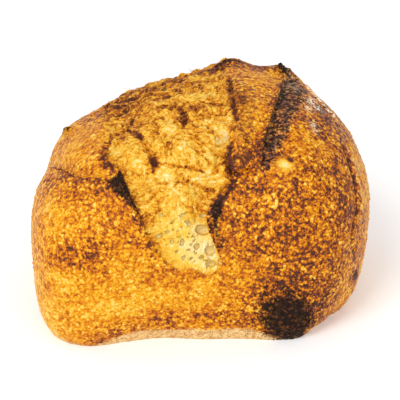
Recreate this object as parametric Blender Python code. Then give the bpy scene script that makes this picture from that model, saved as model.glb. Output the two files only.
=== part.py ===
"""Sourdough loaf: one round country loaf, shaped by hand and baked as a single piece.

The loaf stands on its flat sole, with the middle of its bounding box over the origin.
+Z is up, the torn score faces -Y, and the loaf is widest along X.  The crust starts
as a cube whose grid is rounded into a dome.  Lobes, the torn score and two ledges are
then pressed into it by short functions that work on a flat map of the crust.  Lengths
are in metres, except where a name ends in _MM.
"""

import math

import bmesh
import bpy
from mathutils import Vector

MM = 0.001

# Driving dimensions
DOME_HEIGHT = 0.1310        # sole to the top of the dome, before the lobes
WAIST_HEIGHT = 0.050        # height of the widest ring above the sole
DOME_FULLNESS = 2.2         # exponent of the dome's section, where 2 is an ellipse
UNDERSIDE_DROP = 3.0        # depth of the uncut underside in waist heights
LEAN = Vector((0.006, 0.010, 0.0))      # how far the crown leans over the waist
GRID = 28                   # cells along one edge of the cube that becomes the crust
PLACE = Vector((0.0010, -0.0040, 0.0))  # brings the bounding box over the origin

# Waist radius, and the share of it that is tucked in at the sole.  Both go round
# anticlockwise, seen from above, in equal steps from the right-hand side.
WAIST_RADIUS_MM = (102, 102, 99, 98, 98, 98, 99, 100, 102, 112, 121, 92, 80, 86, 103, 104)
SOLE_TUCK = (0.09, 0.14, 0.15, 0.13, 0.12, 0.12, 0.12, 0.12,
             0.08, -0.02, -0.01, 0.07, -0.02, 0.02, 0.09, 0.03)

# The foot, where the dough settled and burnt: azimuth and spread (degrees), and the
# share of the radius that it reaches out at the sole
FOOT_AZIMUTH = 305
FOOT_SPREAD = 12
FOOT_REACH = 0.10

# The roof sinks in a broad trough across the left half: place and width along X
TROUGH_X = -0.055
TROUGH_WIDTH = 0.048
TROUGH_DEPTH = 0.12         # as a share of the dome over the waist

# Lobes of the oven spring: azimuth, elevation (degrees), height (mm), spread (degrees)
LOBES = {
    "peak": (75, 61, 6, 8),
    "tip": (45, 53, 10, 5.5),
    "tip_root": (35, 48, 3, 7),
    "right_haunch": (5, 10, 1.3, 12),
    "left_shoulder": (164, 30, 4, 10),
    "left_haunch": (172, 15, 1, 14),
}

# The flat map is equidistant from this elevation over the loaf's front
MAP_MIDDLE_ELEVATION = math.radians(50)
MAP_RADIUS_MM = 100.0

# The torn score on the map: up the right lip, over the roof and down the left lip
OPENING_MM = (
    (14, -92), (6, -59), (3, -37), (20, -10), (21, 22), (22, 62), (19, 120), (8, 150),
    (-25, 158), (-62, 130), (-82, 78), (-79, 37), (-68, 10), (-51, -24), (-37, -52),
    (-29, -67), (-12, -85),
)
OPENING_DEPTH = 0.0035
OPENING_SHOULDER_MM = 9.0   # width of the slope from the lip down to the crumb
CRUMB_CROWN = 0.0030        # the crumb springs back up in the middle
CRUMB_CROWN_MM = 30.0       # and reaches that height this far from the lips
LIP_RISE = 0.0015
LIP_WIDTH_MM = 10.0

# Ledges where a flap of crust stands over the skin behind it
LEDGES_MM = (
    ((-55, -15), (-72, -10), (-99, 2), (-130, 24)),
    ((24, -12), (40, 1), (45, 21), (49, 42), (62, 83), (68, 104)),
)
LEDGE_DEPTH = 0.0028
LEDGE_WIDTH_MM = 9.0

RIM_TUCK = 0.05             # share of the radius that the rim of the sole rounds in
RIM_SHARPNESS = 10          # how late that rounding starts
SOLE_SNAP = 0.0004          # grid points this near the sole lie in it

COLLECTION = "sourdough_loaf"
CRUST_COLOR = (0.56, 0.24, 0.045, 1.0)
CRUST_ROUGHNESS = 0.62


def clear_scene():
    """Remove whatever the open file holds."""
    for obj in list(bpy.data.objects):
        bpy.data.objects.remove(obj, do_unlink=True)


def around(values, azimuth):
    """Value at an azimuth, on a smooth closed curve through equally spaced values."""
    count = len(values)
    place = (azimuth / math.tau % 1.0) * count
    step = int(place)
    t = place - step
    a, b, c, d = (values[(step + shift) % count] for shift in (-1, 0, 1, 2))
    bend = 2 * a - 5 * b + 4 * c - d
    twist = 3 * (b - c) + d - a
    return b + 0.5 * t * (c - a + t * (bend + t * twist))


def unit(azimuth, elevation):
    """Unit vector at an azimuth and elevation in radians."""
    flat = math.cos(elevation)
    return Vector((flat * math.cos(azimuth), flat * math.sin(azimuth), math.sin(elevation)))


def sole_tuck(azimuth):
    """Share of the waist radius that is tucked in at the sole at an azimuth."""
    away = (math.degrees(azimuth) - FOOT_AZIMUTH + 180) % 360 - 180
    return around(SOLE_TUCK, azimuth) - FOOT_REACH * math.exp(-(away / FOOT_SPREAD) ** 2)


def dome_point(direction):
    """Point of the plain dome that a direction from the loaf's middle leads to."""
    azimuth = math.atan2(direction.y, direction.x)
    flat = math.hypot(direction.x, direction.y)
    rise = direction.z
    size = (flat ** DOME_FULLNESS + abs(rise) ** DOME_FULLNESS) ** (1 / DOME_FULLNESS)
    flat /= size
    rise /= size
    radius = around(WAIST_RADIUS_MM, azimuth) * MM * flat
    if rise > 0:
        trough = math.exp(-((radius * math.cos(azimuth) - TROUGH_X) / TROUGH_WIDTH) ** 2)
        dome = (DOME_HEIGHT - WAIST_HEIGHT) * rise
        z = WAIST_HEIGHT + dome * (1 - TROUGH_DEPTH * trough)
    else:
        z = WAIST_HEIGHT * (1 + UNDERSIDE_DROP * rise)
    below = min(max(1 - z / WAIST_HEIGHT, 0.0), 1.0)
    above = max(z - WAIST_HEIGHT, 0.0) / (DOME_HEIGHT - WAIST_HEIGHT)
    radius *= 1 - sole_tuck(azimuth) * below ** 2 - RIM_TUCK * below ** RIM_SHARPNESS
    place = Vector((radius * math.cos(azimuth), radius * math.sin(azimuth), z))
    return place + LEAN * above ** 2


def lobe_rise(direction):
    """How far the lobes push the crust out at a direction."""
    total = 0.0
    for azimuth, elevation, height_mm, spread in LOBES.values():
        middle = unit(math.radians(azimuth), math.radians(elevation))
        away = math.degrees(direction.angle(middle)) / spread
        total += height_mm * MM * math.exp(-away ** 2)
    return total


def map_point(place):
    """Where a point of the crust lies on the flat map, in millimetres."""
    direction = (place - Vector((0, 0, WAIST_HEIGHT))).normalized()
    middle = unit(-math.pi / 2, MAP_MIDDLE_ELEVATION)
    up = unit(math.pi / 2, math.pi / 2 - MAP_MIDDLE_ELEVATION)
    across = direction.x
    along = direction.dot(up)
    size = math.hypot(across, along)
    reach = MAP_RADIUS_MM * math.atan2(size, direction.dot(middle))
    return Vector((across, along)) * (reach / max(size, 1e-9))


def run_distance(spot, start, end):
    """Distance on the map from a spot to the straight run between two points."""
    run = end - start
    share = (spot - start).dot(run) / run.length_squared
    return (spot - start - run * min(max(share, 0.0), 1.0)).length


def line_distance(spot, points, closed=False):
    """Distance on the map from a spot to a line through points."""
    line = [Vector(point) for point in points]
    ends = line[1:] + line[:1] if closed else line[1:]
    return min(run_distance(spot, start, end) for start, end in zip(line, ends))


def inside(spot, points):
    """Whether a spot of the map lies inside a closed outline."""
    found = False
    for (x0, y0), (x1, y1) in zip(points, points[1:] + points[:1]):
        if (y0 > spot.y) != (y1 > spot.y):
            if spot.x < x0 + (x1 - x0) * (spot.y - y0) / (y1 - y0):
                found = not found
    return found


def ease(share):
    """Smooth step from 0 to 1."""
    share = min(max(share, 0.0), 1.0)
    return share * share * (3 - 2 * share)


def score_rise(spot):
    """Height that the torn score and its lips give the crust at a spot of the map."""
    away = line_distance(spot, OPENING_MM, closed=True)
    if inside(spot, OPENING_MM):
        crown = CRUMB_CROWN * ease(away / CRUMB_CROWN_MM)
        return crown - OPENING_DEPTH * ease(away / OPENING_SHOULDER_MM)
    return LIP_RISE * math.exp(-(away / LIP_WIDTH_MM) ** 2)


def ledge_rise(spot):
    """Height that the two ledges take from the crust at a spot of the map."""
    total = 0.0
    for ledge in LEDGES_MM:
        away = line_distance(spot, ledge) / LEDGE_WIDTH_MM
        total -= LEDGE_DEPTH * math.exp(-away ** 2)
    return total


def crust_point(direction):
    """Point of the finished crust that a direction from the loaf's middle leads to."""
    place = dome_point(direction)
    if place.z > SOLE_SNAP:
        spot = map_point(place)
        rise = lobe_rise(direction) + score_rise(spot) + ledge_rise(spot)
        place += direction * (rise * ease(place.z / WAIST_HEIGHT * 4))
    return place + PLACE


def cut_sole(grid):
    """Cut the underside off level and close it with one flat face."""
    geometry = grid.verts[:] + grid.edges[:] + grid.faces[:]
    cut = bmesh.ops.bisect_plane(
        grid, geom=geometry, dist=SOLE_SNAP, plane_co=(0, 0, 0), plane_no=(0, 0, 1),
        use_snap_center=True, clear_inner=True)
    rim = [item for item in cut["geom_cut"] if isinstance(item, bmesh.types.BMEdge)]
    bmesh.ops.contextual_create(grid, geom=rim)
    bmesh.ops.recalc_face_normals(grid, faces=grid.faces[:])


def crust_material():
    """Baked crust, golden brown."""
    material = bpy.data.materials.new("crust")
    material.use_nodes = True
    shader = material.node_tree.nodes["Principled BSDF"]
    shader.inputs["Base Color"].default_value = CRUST_COLOR
    shader.inputs["Roughness"].default_value = CRUST_ROUGHNESS
    shader.inputs["Metallic"].default_value = 0.0
    return material


def build_loaf():
    """The whole loaf as one closed body."""
    grid = bmesh.new()
    bmesh.ops.create_cube(grid, size=2.0)
    bmesh.ops.subdivide_edges(grid, edges=grid.edges[:], cuts=GRID - 1, use_grid_fill=True)
    for vertex in grid.verts:
        even = Vector([math.tan(share * math.pi / 4) for share in vertex.co])
        vertex.co = crust_point(even.normalized())
    cut_sole(grid)
    mesh = bpy.data.meshes.new("loaf")
    grid.to_mesh(mesh)
    grid.free()
    mesh.shade_smooth()
    mesh.materials.append(crust_material())
    return bpy.data.objects.new("loaf", mesh)


def main():
    """Build the loaf in a collection named for it."""
    clear_scene()
    collection = bpy.data.collections.new(COLLECTION)
    bpy.context.scene.collection.children.link(collection)
    collection.objects.link(build_loaf())


main()
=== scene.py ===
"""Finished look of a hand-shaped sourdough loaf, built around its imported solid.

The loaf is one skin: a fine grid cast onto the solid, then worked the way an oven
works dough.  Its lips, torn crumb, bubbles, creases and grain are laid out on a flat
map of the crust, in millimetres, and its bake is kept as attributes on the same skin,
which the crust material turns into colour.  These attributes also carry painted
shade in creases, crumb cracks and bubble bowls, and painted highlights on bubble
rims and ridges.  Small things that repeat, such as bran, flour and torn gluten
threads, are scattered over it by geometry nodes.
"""

import logging
import math
from collections.abc import Callable
from dataclasses import dataclass, field
from enum import Enum
from itertools import product

import bpy
import numpy as np
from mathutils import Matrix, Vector
from mathutils.bvhtree import BVHTree


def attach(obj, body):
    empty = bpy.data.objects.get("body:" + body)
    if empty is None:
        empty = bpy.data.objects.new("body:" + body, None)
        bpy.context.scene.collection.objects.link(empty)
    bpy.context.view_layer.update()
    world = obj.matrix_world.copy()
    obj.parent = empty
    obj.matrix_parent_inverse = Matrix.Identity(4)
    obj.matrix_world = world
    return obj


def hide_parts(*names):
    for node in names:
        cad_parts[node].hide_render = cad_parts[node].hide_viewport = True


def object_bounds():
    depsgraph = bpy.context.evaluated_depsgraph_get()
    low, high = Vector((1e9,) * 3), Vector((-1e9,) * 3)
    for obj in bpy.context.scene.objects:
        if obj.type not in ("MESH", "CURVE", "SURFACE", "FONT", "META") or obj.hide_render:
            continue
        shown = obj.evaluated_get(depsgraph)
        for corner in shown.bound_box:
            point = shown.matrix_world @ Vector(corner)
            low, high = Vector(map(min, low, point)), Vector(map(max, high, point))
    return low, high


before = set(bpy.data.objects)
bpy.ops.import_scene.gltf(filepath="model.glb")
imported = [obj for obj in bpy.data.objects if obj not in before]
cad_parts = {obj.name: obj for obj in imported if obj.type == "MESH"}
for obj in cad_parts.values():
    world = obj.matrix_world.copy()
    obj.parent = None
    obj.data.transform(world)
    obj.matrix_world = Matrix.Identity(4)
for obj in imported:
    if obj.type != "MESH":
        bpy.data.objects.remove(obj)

CAD_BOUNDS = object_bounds()
MM = 0.001
LOG = logging.getLogger("sourdough_loaf")

Array = np.ndarray
Piece = bpy.types.Object
Material = bpy.types.Material
Socket = bpy.types.NodeSocket

Spots = tuple[tuple[float, float], ...]


class Bake(Enum):
    """What the oven did to the skin, with painted shade and highlights, one attribute each."""

    TOAST = "toast"
    CHAR = "char"
    CRUMB = "crumb"
    SOLE = "sole"
    FLOUR = "flour"
    # Painted shade in the bubbles' bowls, not a bake.
    PIT_SHADE = "pit"
    MOIST = "moist"


def ease(share: Array) -> Array:
    """Smooth step from 0 to 1."""
    share = np.clip(share, 0.0, 1.0)
    return share * share * (3 - 2 * share)


def bell(share: Array) -> Array:
    """Bell curve that is 1 at 0 and fades past 1."""
    return np.exp(-share ** 2)


def unit(vectors: Array) -> Array:
    """Rows brought to length 1."""
    return vectors / np.maximum(np.linalg.norm(vectors, axis=1), 1e-12)[:, None]


# ---------------- noise


class Grain:
    """Seeded noise over points in space."""

    def __init__(self, seed: int) -> None:
        """Draws the tables.

        Args:
            seed: fixes the pattern.
        """
        draw = np.random.default_rng(seed)
        self.order = draw.permutation(256)
        self.slopes = unit(draw.normal(size=(256, 3)))
        self.jitter = draw.uniform(size=(256, 3))

    def _pick(self, cell: Array) -> Array:
        """Table row of each cell."""
        row = self.order[cell[:, 0] & 255]
        row = self.order[(row + cell[:, 1]) & 255]
        return self.order[(row + cell[:, 2]) & 255]

    @staticmethod
    def _split(points: Array, size: float) -> tuple[Array, Array]:
        """The cell that each point is in, and its place in the cell."""
        scaled = points / size
        cell = np.floor(scaled).astype(int)
        return cell, scaled - cell

    def smooth(self, points: Array, size: float) -> Array:
        """Gradient noise.

        Args:
            points: n by 3 places in metres.
            size: width of one swelling in metres.

        Returns:
            n values, nearly all between -1 and 1.
        """
        cell, part = self._split(points, size)
        blend = part ** 3 * (part * (part * 6 - 15) + 10)
        total = np.zeros(len(points))
        for corner in np.ndindex(2, 2, 2):
            step = np.array(corner)
            slope = self.slopes[self._pick(cell + step)]
            weight = np.prod(np.where(step == 1, blend, 1 - blend), axis=1)
            total += weight * np.einsum("ij,ij->i", slope, part - step)
        return total * 1.7

    def layered(self, points: Array, size: float, layers: int = 3) -> Array:
        """Gradient noise in halving sizes.

        Args:
            points: n by 3 places in metres.
            size: width of the broadest swelling in metres.
            layers: how many sizes are added.

        Returns:
            n values around 0.
        """
        total = np.zeros(len(points))
        for layer in range(layers):
            shift = 7.3 * layer * size
            total += self.smooth(points + shift, size / 2 ** layer) / 2 ** layer
        return total

    def cells(self, points: Array, size: float) -> tuple[Array, Array]:
        """Distances to the two nearest seeds of a jittered grid.

        Args:
            points: n by 3 places in metres.
            size: width of a cell in metres.

        Returns:
            The nearest and the second nearest distance, in cell widths.
        """
        cell, part = self._split(points, size)
        first = np.full(len(points), 9.0)
        second = np.full(len(points), 9.0)
        for corner in np.ndindex(3, 3, 3):
            step = np.array(corner) - 1
            seed = self.jitter[self._pick(cell + step)]
            away = np.linalg.norm(step + seed - part, axis=1)
            second = np.minimum(second, np.maximum(first, away))
            first = np.minimum(first, away)
        return first, second


# ---------------- the crust's map


@dataclass(frozen=True)
class CrustMap:
    """Flat map of the crust, equidistant around a point over the loaf's front."""

    heart: tuple[float, float, float] = (0.0010, -0.0040, 0.050)
    elevation: float = math.radians(50)
    radius_mm: float = 100.0

    def axes(self) -> tuple[Array, Array, Array]:
        """Directions of the map's middle, its right and its up."""
        cos, sin = math.cos(self.elevation), math.sin(self.elevation)
        return np.array([0, -cos, sin]), np.array([1.0, 0, 0]), np.array([0, sin, cos])

    def spots(self, points: Array) -> Array:
        """Where points of the crust lie on the map.

        Args:
            points: n by 3 places in metres.

        Returns:
            n by 2 spots in millimetres.
        """
        ray = unit(points - self.heart)
        middle, right, up = self.axes()
        flat = np.stack([ray @ right, ray @ up], axis=1)
        size = np.maximum(np.linalg.norm(flat, axis=1), 1e-9)
        reach = self.radius_mm * np.arctan2(size, ray @ middle)
        return flat * (reach / size)[:, None]

    def rays(self, spots: Array) -> Array:
        """Directions from the loaf's heart that spots stand for.

        Args:
            spots: n by 2 spots in millimetres.

        Returns:
            n by 3 unit vectors.
        """
        middle, right, up = self.axes()
        size = np.maximum(np.linalg.norm(spots, axis=1), 1e-9)
        turn = size / self.radius_mm
        flat = spots / size[:, None] * np.sin(turn)[:, None]
        return flat[:, :1] * right + flat[:, 1:] * up + np.cos(turn)[:, None] * middle


@dataclass(frozen=True)
class Line:
    """Smooth line on the map through a few spots."""

    spots: Spots
    closed: bool = False
    steps: int = 4

    def points(self) -> Array:
        """The line's points, read from a smooth curve through its spots."""
        knots = np.array(self.spots, float)
        if self.closed:
            knots = np.vstack([knots[-1:], knots, knots[:2]])
        else:
            knots = np.vstack([2 * knots[0] - knots[1], knots, 2 * knots[-1] - knots[-2]])
        found = []
        for a, b, c, d in zip(knots, knots[1:], knots[2:], knots[3:]):
            for t in np.arange(self.steps) / self.steps:
                bend = 2 * a - 5 * b + 4 * c - d
                twist = 3 * (b - c) + d - a
                found.append(b + 0.5 * t * (c - a + t * (bend + t * twist)))
        if not self.closed:
            found.append(knots[-2])
        return np.array(found)

    def measure(self, spots: Array) -> tuple[Array, Array, Array]:
        """How spots lie to the line.

        Args:
            spots: n by 2 spots of the map.

        Returns:
            The distance to the line, the same signed (positive left of the line's
            way), and the share of the line's points passed at the nearest place.
        """
        line = self.points()
        ends = np.roll(line, -1, axis=0) if self.closed else line[1:]
        starts = line if self.closed else line[:-1]
        best = np.full(len(spots), 1e9)
        side = np.zeros(len(spots))
        share = np.zeros(len(spots))
        for index, (start, end) in enumerate(zip(starts, ends)):
            run = end - start
            rel = spots - start
            t = np.clip(rel @ run / max(run @ run, 1e-9), 0, 1)
            away = np.linalg.norm(rel - t[:, None] * run, axis=1)
            near = away < best - 1e-6
            best = np.where(near, away, best)
            cross = run[0] * rel[:, 1] - run[1] * rel[:, 0]
            side = np.where(near, np.sign(cross), side)
            share = np.where(near, (index + t) / len(starts), share)
        return best, best * side, share

    def depth(self, spots: Array) -> Array:
        """Signed distance to a closed line, positive inside."""
        line = self.points()
        inside = np.zeros(len(spots), bool)
        x, y = spots[:, 0], spots[:, 1]
        for (x0, y0), (x1, y1) in zip(line, np.roll(line, -1, axis=0)):
            if y0 == y1:
                continue
            crossing = ((y0 > y) != (y1 > y)) & (x < x0 + (x1 - x0) * (y - y0) / (y1 - y0))
            inside ^= crossing
        away = self.measure(spots)[0]
        return np.where(inside, away, -away)


# ---------------- the skin being worked


@dataclass
class Dough:
    """The skin while it is worked: where it is, and what has been done to it."""

    points: Array
    normals: Array
    spots: Array
    right: Array
    up: Array
    rise: Array = field(init=False)
    slide: Array = field(init=False)
    flow: Array = field(init=False)
    bake: dict[Bake, Array] = field(init=False)

    def __post_init__(self) -> None:
        """Starts with nothing done."""
        count = len(self.points)
        self.rise = np.zeros(count)
        self.slide = np.zeros((count, 2))
        self.flow = np.zeros((count, 3))
        self.bake = {kind: np.zeros(count) for kind in Bake}

    def worked(self) -> Array:
        """The skin's points with its rise and slide, in metres."""
        moved = self.points + self.normals * (self.rise * MM)[:, None]
        moved += self.right * (self.slide[:, :1] * MM)
        return moved + self.up * (self.slide[:, 1:] * MM)


@dataclass(frozen=True)
class Oval:
    """An oval on the map: its middle, its two radii and its turn in degrees."""

    x: float
    y: float
    wide: float
    tall: float
    turn: float = 0.0

    def away(self, spots: Array) -> Array:
        """Distance from the middle, where 1 is the oval's edge."""
        angle = math.radians(self.turn)
        rel = spots - np.array([self.x, self.y])
        across = rel[:, 0] * math.cos(angle) + rel[:, 1] * math.sin(angle)
        along = rel[:, 1] * math.cos(angle) - rel[:, 0] * math.sin(angle)
        return np.hypot(across / self.wide, along / self.tall)


@dataclass(frozen=True)
class Patch:
    """A soft patch of bake."""

    oval: Oval
    kind: Bake
    amount: float

    def apply(self, dough: Dough) -> None:
        """Adds the patch to its attribute."""
        dough.bake[self.kind] += self.amount * bell(self.oval.away(dough.spots))


@dataclass(frozen=True)
class Swell:
    """A soft swelling, or a hollow where its height is negative."""

    oval: Oval
    height: float

    def apply(self, dough: Dough) -> None:
        """Adds the swelling to the skin."""
        dough.rise += self.height * bell(self.oval.away(dough.spots))


@dataclass(frozen=True)
class Bubble:
    """A burst bubble in the crumb: a bowl with a thin raised rim."""

    oval: Oval
    depth: float
    shade: float
    rim: float = 0.30
    rim_place: float = 1.12
    rim_width: float = 0.16

    def apply(self, dough: Dough) -> None:
        """Presses the bowl, a little out of round, paints a highlight on its rim and paints shade
        into the bowl.
        """
        away = self.oval.away(dough.spots)
        away = away * (1 + 0.25 * Grain(7).smooth(dough.points, 0.0045))
        bowl = np.clip(1 - away ** 2, 0, 1) ** 0.7
        rim = bell((away - self.rim_place) / self.rim_width)
        dough.rise += self.rim * rim - self.depth * bowl
        # Painted highlight on the rim, and painted shade in the bowl as the pit attribute.
        dough.bake[Bake.TOAST] -= 0.10 * rim * (self.shade > 0)
        dough.bake[Bake.PIT_SHADE] += self.shade * ease((1.05 - away) / 0.40)


@dataclass(frozen=True)
class Crease:
    """A fold that sinks along a line, darkened along it as painted shade."""

    line: Line
    width: float
    depth: float
    toast: float = 0.0
    char: float = 0.0
    flour: float = 0.0
    spread: float = 1.0
    fade: float = 0.12

    def apply(self, dough: Dough) -> None:
        """Sinks and darkens the skin, fading out at the line's ends."""
        away, _side, share = self.line.measure(dough.spots)
        ends = ease(share / self.fade) * ease((1 - share) / self.fade)
        away = away / (self.width * (0.35 + 0.65 * ends))
        dough.rise -= self.depth * ends * bell(away)
        # Toast and char along the line are painted shade in the fold; a negative toast paints a
        # highlight along a raised ridge.
        mark = bell(away / self.spread)
        dough.bake[Bake.TOAST] += self.toast * mark
        dough.bake[Bake.CHAR] += self.char * mark
        dough.bake[Bake.FLOUR] += self.flour * mark


@dataclass(frozen=True)
class Ledge:
    """An edge of crust on the left of its line's way that stands over the other side."""

    line: Line
    height: float
    drop: float
    reach: float = 9.0
    overhang: float = 1.2
    toast: float = 0.0
    toast_reach: float = 6.0
    fade: float = 0.15
    edge: float = 0.8

    def apply(self, dough: Dough) -> None:
        """Raises one side of the line, sinks the other and leans the edge over."""
        away, side, share = self.line.measure(dough.spots)
        ends = ease(share / self.fade) * ease((1 - share) / self.fade)
        high = ease((side + self.edge) / (2 * self.edge))
        dough.rise += ends * high * self.height * np.exp(-away / self.reach)
        dough.rise -= ends * (1 - high) * self.drop * np.exp(-away / self.reach)
        lean = ends * bell((side - self.edge) / (2 * self.edge)) * self.overhang
        way = uphill(lambda spots: self.line.measure(spots)[1], dough.spots, side)
        dough.slide -= way * lean[:, None]
        mark = high * np.exp(-away / self.toast_reach)
        dough.bake[Bake.TOAST] += ends * self.toast * mark


@dataclass(frozen=True)
class Stain:
    """A patch of bake with an outline of its own."""

    outline: Line
    kind: Bake
    amount: float
    soft: float = 2.0

    def apply(self, dough: Dough) -> None:
        """Adds the stain to its attribute."""
        depth = self.outline.depth(dough.spots)
        share = ease((depth + self.soft) / (2 * self.soft))
        dough.bake[self.kind] += self.amount * share


def uphill(reading: Callable[[Array], Array], spots: Array, here: Array) -> Array:
    """Direction on the map in which a reading of it grows fastest.

    Args:
        reading: gives a value for each of n spots.
        spots: n by 2 spots of the map.
        here: the reading at the spots.

    Returns:
        n by 2 unit directions, or nothing where the reading jumps.
    """
    probe = 0.4
    steps = [reading(spots + np.array(step)) - here for step in ((probe, 0.0), (0.0, probe))]
    slope = np.stack(steps, axis=1)
    size = np.maximum(np.linalg.norm(slope, axis=1), 1e-6)
    return slope / size[:, None] * (size < 3 * probe)[:, None]


# ---------------- the torn score


@dataclass(frozen=True)
class TornScore:
    """The score that tore open: its lips, the crumb between them and their burnt edges."""

    outline: Line = Line(
        (
            (9, -89), (13, -82), (12, -75), (9, -67), (6, -60), (3, -53), (3, -42),
            (7, -34), (14, -27), (19, -20), (20, -12), (18, -4), (17, 8), (19, 22),
            (22, 34), (22, 46), (21, 66), (20, 90), (18, 124), (8, 150), (-25, 158),
            (-66, 140), (-96, 108), (-94, 78), (-84, 54), (-75, 34), (-71, 22),
            (-67, 4), (-62, -5), (-57, -10), (-53, -18), (-49, -26), (-45, -36),
            (-42, -46), (-38, -58), (-32, -70), (-25, -78), (-17, -84), (-12, -83),
            (-6, -85), (2, -89),
        ),
        closed=True,
        steps=3,
    )
    lip_width: float = 1.4
    drop: float = 3.0
    crown: float = 3.2
    crown_reach: float = 16.0
    lip_rise: float = 1.3
    lip_reach: float = 5.0
    lip_toast: float = 0.22
    crumb_edge_toast: float = 0.20
    ragged_size: float = 0.009

    def apply(self, dough: Dough) -> None:
        """Presses the opening, raises its lips and marks the crumb."""
        depth = self.outline.depth(dough.spots)
        y = dough.spots[:, 1]
        bold = 0.10 + 0.90 * ease((y + 86) / 32) * ease((34 - y) / 34)
        inside = ease((depth + self.lip_width / 2) / self.lip_width)
        crown = self.crown * ease(depth / self.crown_reach)
        dough.rise += bold * inside * (crown - self.drop)
        outside = np.maximum(-depth, 0)
        dough.rise += bold * (1 - inside) * self.lip_rise * np.exp(-outside / self.lip_reach)
        soft = 0.6 + 6.0 * ease(y / 60)
        ragged = Grain(3).layered(dough.points, self.ragged_size) * (0.35 + soft * 0.8)
        dough.bake[Bake.CRUMB] = ease((depth + ragged + soft) / (2 * soft))
        lean = bold * bell((depth + 1.0) / 1.8)
        dough.slide += uphill(self.outline.depth, dough.spots, depth) * lean[:, None]
        dough.bake[Bake.TOAST] += self.lip_toast * bold * bell((depth + 1.6) / 2.2)
        browned = self.crumb_edge_toast * (depth > 0) * bold * np.exp(-np.maximum(depth, 0) / 3.5)
        dough.bake[Bake.TOAST] += browned


Feature = Crease | Ledge | Swell | Bubble | Patch | Stain


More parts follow.
